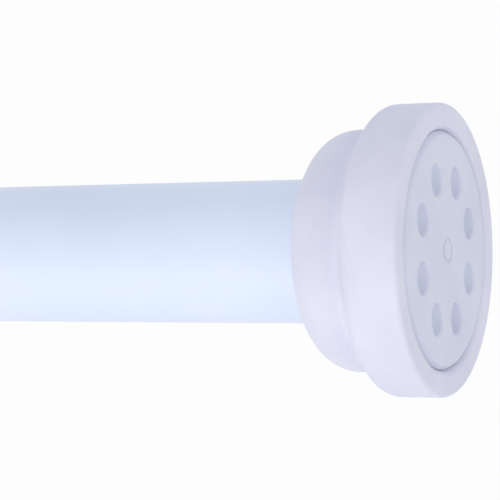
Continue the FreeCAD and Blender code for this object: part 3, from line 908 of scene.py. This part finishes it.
    def dimple_cutter(self) -> Piece:
        """Turn one cutter for a round-lipped dimple, half a step round from the top.

        Returns:
            The cutter: a ball below, and a flare that runs out into the face.
        """
        lip = self.dimple_lip
        ball = (self.dimple_radius ** 2 + self.dimple_depth ** 2) / (2.0 * self.dimple_depth)
        height = ball - self.dimple_depth
        lip_place = math.sqrt((ball + lip) ** 2 - (height + lip) ** 2)
        leave = math.degrees(math.atan2(lip_place, height + lip))
        flare = arc((lip, lip_place), lip, 180.0 + self.flare_angle, 180.0 + leave, SMALL_ARC_STEPS)
        bowl = arc((-height, 0.0), ball, leave, self.flare_angle)
        flare_slope = math.tan(math.radians(self.flare_angle))
        mouth = flare[0].radius + (flare[0].along + self.flare_rise) / flare_slope
        rings = [Ring(-self.dimple_depth, mouth), Ring(-self.flare_rise, mouth), *flare, *bowl[1:]]
        cutter = turn("dimple_cutter", self.placed(rings), self.dimple_sides)
        angle = math.pi / self.dimple_count
        cutter.location = Vector((0.0, math.sin(angle), math.cos(angle))) * self.dimple_circle
        bake_place()
        return cutter

    def plug(self) -> Piece:
        """Model the plug with its dimples, crush ribs and webs.

        Returns:
            The finished plug.
        """
        piece = self.plug_body()
        bore = self.tube_radius - self.tube_wall
        rib = self.bar(
            self.tube_seat + self.rib_start,
            self.tube_seat + self.spigot_length - 2.0 * self.spigot_lead[0],
            bore - self.spigot_play - self.rib_size[1], bore - self.fixed_gap, self.rib_size[0])
        web = self.bar(
            self.flange_back - self.flange_depth / 2.0, self.flange_back + self.web_size[0],
            self.hub_radius - self.hub_wall / 2.0,
            self.dome[1] + self.dome_round - self.boot_wall - self.web_play, self.web_size[1])
        self.slope_web(web, self.hub_radius + self.web_foot)
        combine_round(piece, rib, self.rib_count, "UNION")
        combine_round(piece, web, self.web_count, "UNION")
        combine_round(piece, self.dimple_cutter(), self.dimple_count, "DIFFERENCE")
        smooth(piece)
        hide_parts(self.plug_node)
        return piece

    def build(self, finishes: Finishes) -> None:
        """Model, dress and seat both pieces of the foot."""
        for piece, slot in ((self.boot(), Slot.FOOT_RUBBER), (self.plug(), Slot.FOOT_PLASTIC)):
            finish_piece(piece, finishes, slot, self.end.body)


def combine_round(piece: Piece, tool: Piece, count: int, operation: str) -> None:
    """Repeat a tool round the rod and use it up on a piece.

    Args:
        piece: the piece to change.
        tool: the tool at its first place.
        count: copies round the rod.
        operation: UNION or DIFFERENCE.
    """
    edit_all(tool)
    bpy.ops.mesh.spin(steps=count - 1, dupli=True, angle=TURN * (count - 1) / count,
                      center=ROD_LINE, axis=ALONG_ROD)
    combine(piece, tool, operation)


def finish_piece(piece: Piece, finishes: Finishes, slot: Slot, body: str) -> None:
    """Dress a new piece and tie it to its body.

    Args:
        piece: the new piece.
        finishes: the rod's finishes.
        slot: the piece's slot.
        body: frame body that it moves with.
    """
    finishes.dress(piece, slot)
    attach(piece, body)


# Tubes and collar


@dataclass
class Tubes:
    """The two painted tubes and the collar on the wide tube's mouth."""

    wall: float = 0.6 * MM
    edge_round: float = 0.14 * MM
    groove_width: float = 2.0 * MM
    groove_depth: float = 0.5 * MM
    running_gap: float = 0.06 * MM
    fixed_gap: float = 0.03 * MM
    collar_flange: float = 4.0 * MM
    collar_skirt: float = 5.0 * MM
    collar_lead: float = 0.5 * MM
    collar_edge: float = 0.12 * MM
    skirt_round: float = 0.45 * MM
    nose_round: float = 0.9 * MM
    stop_boss: float = 6.0 * MM
    inside_round: float = 0.18 * MM
    outside_round: float = 0.35 * MM
    sides: int = 192
    collar_sides: int = 160

    def cut_edge(self, along: float, radius: float) -> Ring:
        """Give the eased edge of a cut tube end."""
        return Ring(along, radius, self.edge_round, 2)

    def turned(self, name: str, box: tuple[Vector, Vector], groove: Sequence[Pair] = ()) -> Piece:
        """Turn a tube with both ends cut square and eased.

        Args:
            name: the piece's name.
            box: low and high corner of its frame node.
            groove: places on X and depths of the corners of a rolled groove.

        Returns:
            The tube.
        """
        low, high = box
        radius = high.z
        bore = radius - self.wall
        inside = [Ring(place, bore - depth, self.inside_round, 2) for place, depth in groove]
        outside = [Ring(place, radius - depth, self.outside_round) for place, depth in groove]
        return turn(name, [
            self.cut_edge(low.x, bore), *inside, self.cut_edge(high.x, bore),
            self.cut_edge(high.x, radius), *reversed(outside), self.cut_edge(low.x, radius),
        ], self.sides, hollow=True)

    def inner_tube(self) -> Piece:
        """Model the narrow tube with the groove rolled in over the spring stop.

        Returns:
            The finished tube.
        """
        stop_low, stop_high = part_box("spring_stop")
        middle = (stop_low.x + stop_high.x - self.stop_boss) / 2.0
        floor = self.groove_width / 2.0
        top = floor + self.groove_depth
        piece = self.turned("inner_tube_painted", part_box("inner_tube"), [
            (middle - top, 0.0), (middle - floor, self.groove_depth),
            (middle + floor, self.groove_depth), (middle + top, 0.0)])
        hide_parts("inner_tube")
        return piece

    def collar(self) -> Piece:
        """Model the moulded collar with its rounded nose and its skirt over the tube.

        Returns:
            The finished collar.
        """
        low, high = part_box("outer_tube_collar")
        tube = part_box("outer_tube")[1].z
        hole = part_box("inner_tube")[1].z + self.running_gap
        in_tube, on_tube = tube - self.wall - self.fixed_gap, tube + self.fixed_gap
        step = low.x + self.collar_flange
        skirt_end = step + self.collar_skirt
        piece = turn("outer_tube_collar_moulded", [
            Ring(low.x, hole, self.collar_lead, 3),
            Ring(high.x, hole, self.collar_edge, 2),
            Ring(high.x, in_tube, self.collar_edge, 2),
            Ring(step, in_tube),
            Ring(step, on_tube),
            Ring(skirt_end, on_tube),
            Ring(skirt_end, high.z, self.skirt_round),
            Ring(low.x, high.z, self.nose_round, 7),
        ], self.collar_sides, hollow=True)
        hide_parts("outer_tube_collar")
        return piece

    def build(self, finishes: Finishes) -> None:
        """Model, dress and seat the tubes and the collar.

        Args:
            finishes: the rod's finishes.
        """
        outer = self.turned("outer_tube_painted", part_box("outer_tube"))
        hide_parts("outer_tube")
        finish_piece(outer, finishes, Slot.TUBE_PAINT, "outer_half")
        finish_piece(self.inner_tube(), finishes, Slot.TUBE_PAINT, "inner_half")
        finish_piece(self.collar(), finishes, Slot.GUIDE_PLASTIC, "outer_half")


# Spring


@dataclass
class CoilSpring:
    """The round-wire compression spring with closed, ground ends."""

    wire: float = 2.0 * MM
    working_turns: float = 12.0
    end_turns: float = 1.0
    points_per_turn: int = 40
    ground_share: float = 0.25
    travel_joint: str = "spring_slide"

    def __post_init__(self) -> None:
        """Take the spring's ends and width from the frame."""
        low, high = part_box("spring")
        self.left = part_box("spring_seat_washer")[1].x
        self.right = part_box("follower_washer")[0].x
        self.length = self.right - self.left
        self.radius = (high.z - low.z) / 2.0 - self.wire / 2.0

    def along(self, turns: float) -> float:
        """Give the place on X of the wire after so many turns.

        Args:
            turns: turns from its left end.

        Returns:
            The place on X.
        """
        pitch = (self.length - self.wire - 2.0 * self.end_turns * self.wire) / self.working_turns
        dead = min(turns, self.end_turns) + max(turns - self.end_turns - self.working_turns, 0.0)
        live = min(max(turns - self.end_turns, 0.0), self.working_turns)
        return self.left + self.wire / 2.0 + dead * self.wire + live * pitch

    def wound(self) -> Piece:
        """Sweep the round wire along its turns.

        Returns:
            The wire, not ground yet.
        """
        total = self.working_turns + 2.0 * self.end_turns
        deselect_all()
        bpy.ops.curve.primitive_nurbs_path_add(location=ROD_LINE)
        coil = bpy.context.active_object
        coil.name = "spring_coil"
        curve = coil.data
        curve.splines.clear()
        spline = curve.splines.new("POLY")
        spline.points.add(int(total * self.points_per_turn))
        for index, point in enumerate(spline.points):
            turns = index / self.points_per_turn
            angle = TURN * turns
            point.co = (self.along(turns), self.radius * math.cos(angle),
                        self.radius * math.sin(angle), 1.0)
        curve.bevel_depth = self.wire / 2.0
        curve.bevel_resolution = 4
        curve.use_fill_caps = True
        make_active(coil)
        bpy.ops.object.convert(target="MESH")
        return coil

    def build(self, finishes: Finishes) -> None:
        """Grind both ends flat, fill the space again, then dress the spring and tie it to its body.

        Args:
            finishes: the rod's finishes.
        """
        coil = self.wound()
        ground = self.ground_share * self.wire
        trim_ends(coil, self.left + ground, self.right - ground)
        bpy.ops.mesh.select_all(action="SELECT")
        bpy.ops.transform.resize(
            value=(self.length / (self.length - 2.0 * ground), 1.0, 1.0),
            center_override=((self.left + self.right) / 2.0, 0.0, 0.0))
        smooth(coil, SOFT_ANGLE)
        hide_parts("spring")
        finish_piece(coil, finishes, Slot.SPRING_STEEL, "inner_half")
        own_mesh(coil)


# Spindle


@dataclass
class Spindle:
    """The steel spindle: grooved stub, hexagonal shank, collar and coarse two-start screw."""

    stub_radius: float = 2.8 * MM
    stub_length: float = 16.5 * MM
    groove: Triple = (1.5 * MM, 2.4 * MM, 2.2 * MM)
    flats: float = 7.0 * MM
    shank_length: float = 60.0 * MM
    collar_length: float = 3.0 * MM
    screw_radius: float = 4.0 * MM
    root_radius: float = 3.35 * MM
    lead: float = 2.5 * MM
    starts: int = 2
    crest_share: float = 0.28
    flank_share: float = 0.25
    turn_steps: int = 48
    weld: float = 0.001 * MM
    edge: float = 0.4 * MM
    corner_round: float = 0.25 * MM
    sides: int = 96

    def __post_init__(self) -> None:
        """Take the spindle's ends and collar from the frame."""
        low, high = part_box("spindle")
        self.left = low.x
        self.right = high.x
        self.collar_radius = high.z
        self.shank_start = self.left + self.stub_length
        self.collar_start = self.shank_start + self.shank_length
        self.screw_start = self.collar_start + self.collar_length

    def blank(self) -> Piece:
        """Turn the stub and the collar.

        Returns:
            The turned piece.
        """
        near, far, depth = self.groove
        return turn("spindle_steel", [
            Ring(self.left, self.stub_radius - self.edge),
            Ring(self.left + self.edge, self.stub_radius),
            Ring(self.left + near, self.stub_radius),
            Ring(self.left + near, depth),
            Ring(self.left + far, depth),
            Ring(self.left + far, self.stub_radius),
            Ring(self.collar_start, self.stub_radius),
            Ring(self.collar_start, self.collar_radius, self.edge, 3),
            Ring(self.screw_start, self.collar_radius, self.edge, 3),
        ], self.sides)

    def shank(self) -> Piece:
        """Add the hexagonal shank with its corners taken off at the stub.

        Returns:
            The shank.
        """
        length = self.shank_length + self.edge
        deselect_all()
        bpy.ops.mesh.primitive_cylinder_add(
            vertices=6, radius=self.flats / math.sqrt(3.0), depth=length,
            location=(self.shank_start + length / 2.0, 0.0, 0.0), rotation=ROUND_ROD)
        made = bpy.context.active_object
        bake_place()
        apply_modifier(made, "BEVEL", width=self.corner_round, segments=2, limit_method="ANGLE")
        return made

    def thread(self) -> Piece:
        """Wind the thread's section round the rod's middle line, too long at both ends.

        Returns:
            The screw, longer than it has to be at both ends.
        """
        pitch = self.lead / self.starts
        crest, flank = self.crest_share * pitch, self.flank_share * pitch
        depth = self.screw_radius - self.root_radius
        root = pitch - crest - 2.0 * flank
        section = [(crest, 0.0), (flank, -depth), (root, 0.0), (flank, depth)]
        deselect_all()
        bpy.ops.mesh.primitive_circle_add(vertices=3, radius=MM, fill_type="NOTHING")
        made = bpy.context.active_object
        edit_all(made)
        bpy.ops.mesh.merge(type="CENTER")
        bpy.ops.mesh.select_all(action="SELECT")
        bpy.ops.transform.translate(value=(self.screw_start - self.lead, 0.0, self.screw_radius))
        for along, rise in section * self.starts:
            bpy.ops.mesh.extrude_vertices_move(TRANSFORM_OT_translate={"value": (along, 0.0, rise)})
        turns = int((self.right - self.screw_start) / self.lead) + 3
        apply_modifier(
            made, "SCREW", axis="X", angle=TURN, screw_offset=self.lead, iterations=turns,
            steps=self.turn_steps, render_steps=self.turn_steps, use_merge_vertices=True,
            merge_threshold=self.weld)
        return made

    def trimmed(self, screw: Piece) -> Piece:
        """Close a screw, start it inside the collar and chamfer its free end.

        Args:
            screw: the wound thread.

        Returns:
            The same screw as a closed solid.
        """
        trim_ends(screw, self.screw_start - self.edge, self.right + self.edge)
        bpy.ops.mesh.select_all(action="SELECT")
        bpy.ops.mesh.normals_make_consistent(inside=False)
        wide, narrow = self.screw_radius + self.edge, self.root_radius - self.edge / 2.0
        sleeve = turn("screw_trim", [
            Ring(self.screw_start - self.edge / 2.0, wide),
            Ring(self.right - (wide - narrow), wide),
            Ring(self.right, narrow),
        ], self.sides)
        combine(screw, sleeve, "INTERSECT")
        return screw

    def build(self, finishes: Finishes) -> None:
        """Model the spindle in one piece, dress it and tie it to the screw's body.

        Args:
            finishes: the rod's finishes.
        """
        piece = self.blank()
        shank, thread = self.shank(), self.trimmed(self.thread())
        combine(piece, shank, "UNION")
        combine(piece, thread, "UNION")
        smooth(piece)
        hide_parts("spindle")
        finish_piece(piece, finishes, Slot.STEEL, "screw")


# Small pieces whose frame shape is right


@dataclass
class SmallPieces:
    """Frame nodes that keep their shape and get their finish here."""

    nodes: dict[Slot, tuple[str, ...]] = field(default_factory=lambda: {
        Slot.GUIDE_PLASTIC: ("inner_tube_bush", "plunger", "spring_stop"),
        Slot.LOCK_PLASTIC: ("lock_sleeve", "cone_nut"),
        Slot.DRAG_RUBBER: ("drag_ring",),
        Slot.STEEL: ("thread_end_stop", "plunger_clip", "thrust_washer", "follower_washer",
                     "spring_seat_washer"),
    })

    def build(self, finishes: Finishes) -> None:
        """Dress each node in the finish of its slot.

        Args:
            finishes: the rod's finishes.
        """
        for slot, names in self.nodes.items():
            for name in names:
                finishes.dress(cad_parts[name], slot)


# Studio


@dataclass(frozen=True)
class Lamp:
    """A soft square lamp that the camera doesn't see."""

    name: str
    place: Triple
    aim: Triple
    size: float
    watts: float

    def add(self) -> None:
        """Hang the lamp."""
        deselect_all()
        bpy.ops.object.light_add(type="AREA", location=self.place)
        lamp = bpy.context.active_object
        lamp.name = self.name
        way = Vector(self.aim) - Vector(self.place)
        lamp.rotation_euler = way.to_track_quat("-Z", "Y").to_euler()
        lamp.data.shape = "SQUARE"
        lamp.data.size = self.size
        lamp.data.energy = self.watts
        lamp.visible_camera = False


@dataclass
class Studio:
    """White room, soft lamps and the camera of the photograph."""

    floor_height: float = -0.55
    floor_size: float = 24.0
    floor_tone: float = 0.86
    white_share: float = 0.95
    white_level: float = 0.985
    sky_level: float = 0.85
    sky_top: Triple = (0.77, 0.85, 0.97)
    sky_rim: Triple = (1.0, 1.0, 1.0)
    camera_azimuth: float = 25.0
    camera_elevation: float = -0.96
    camera_roll: float = -0.107
    camera_target: Triple = (-36.6 * MM, 0.0, 0.34 * MM)
    camera_distance: float = 350.7 * MM
    lens: float = 143.9
    sensor: float = 36.0
    lamps: tuple[Lamp, ...] = (
        Lamp("lower_front_lamp", (-0.10, -0.28, -0.52), (-0.04, 0.0, 0.0), 1.0, 3.3),
        Lamp("right_lamp", (0.75, -0.25, -0.20), ROD_LINE, 0.6, 0.5),
    )

    def make_world(self) -> None:
        """Make a world that is white to look at and softer as a light."""
        world = bpy.data.worlds.new("white_room")
        bpy.context.scene.world = world
        world.use_nodes = True
        sheet = NodeSheet(world.node_tree)
        way = sheet.node("ShaderNodeTexCoord").outputs["Generated"]
        height = sheet.node("ShaderNodeSeparateXYZ", {0: way}).outputs["Z"]
        sky = sheet.blend(height, self.sky_rim, self.sky_top)
        soft = sheet.node("ShaderNodeBackground", {"Color": sky, "Strength": self.sky_level})
        white = sheet.node("ShaderNodeBackground", {"Color": WHITE, "Strength": self.white_level})
        mix = sheet.node("ShaderNodeMixShader", {
            0: sheet.background_rays(), 1: soft.outputs[0], 2: white.outputs[0]})
        sheet.node("ShaderNodeOutputWorld", {"Surface": mix.outputs[0]})

    def make_floor(self) -> None:
        """Lay the plain pale floor, white to the camera and still able to hold a shadow."""
        deselect_all()
        bpy.ops.mesh.primitive_plane_add(
            size=self.floor_size, location=(0.0, 0.0, self.floor_height))
        floor = bpy.context.active_object
        floor.name = "studio_floor"
        bake_place()
        paint = Paint("studio_floor_white")
        paint.fix(Base_Color=(*(self.floor_tone,) * 3, 1.0), Roughness=0.9, Specular_IOR_Level=0.1)
        glow = paint.node("ShaderNodeEmission", {"Color": WHITE, "Strength": 1.0})
        mix = paint.node("ShaderNodeMixShader", {
            0: self.white_share * paint.background_rays(),
            1: paint.shader.outputs["BSDF"], 2: glow.outputs[0]})
        paint.tree.links.new(mix.outputs[0], paint.output.inputs["Surface"])
        floor.data.materials.append(paint.material)

    def make_camera(self) -> None:
        """Put the camera where the photograph was taken from."""
        azimuth, elevation = math.radians(self.camera_azimuth), math.radians(self.camera_elevation)
        level = math.cos(elevation)
        away = Vector((math.sin(azimuth) * level, -math.cos(azimuth) * level, math.sin(elevation)))
        deselect_all()
        bpy.ops.object.camera_add(location=Vector(self.camera_target) + away * self.camera_distance)
        camera = bpy.context.active_object
        camera.name = "photo_camera"
        camera.rotation_euler = (-away).to_track_quat("-Z", "Y").to_euler()
        camera.rotation_euler.rotate_axis("Z", math.radians(self.camera_roll))
        camera.data.lens = self.lens
        camera.data.sensor_width = self.sensor
        camera.data.clip_start = 0.01
        bpy.context.scene.camera = camera

    def build(self) -> None:
        """Make the room, the lamps and the camera."""
        self.make_world()
        self.make_floor()
        for lamp in self.lamps:
            lamp.add()
        self.make_camera()
        bpy.context.scene.view_settings.view_transform = "Standard"


def main() -> None:
    """Build the dressed rod and its studio."""
    logging.basicConfig(level=logging.INFO, format="%(message)s")
    Studio().build()
    finishes = Finishes()
    Foot(End.RIGHT, "outer_tube").build(finishes)
    Foot(End.LEFT, "inner_tube").build(finishes)
    Tubes().build(finishes)
    CoilSpring().build(finishes)
    Spindle().build(finishes)
    SmallPieces().build(finishes)
    deselect_all()


if __name__ == "__main__":
    main()
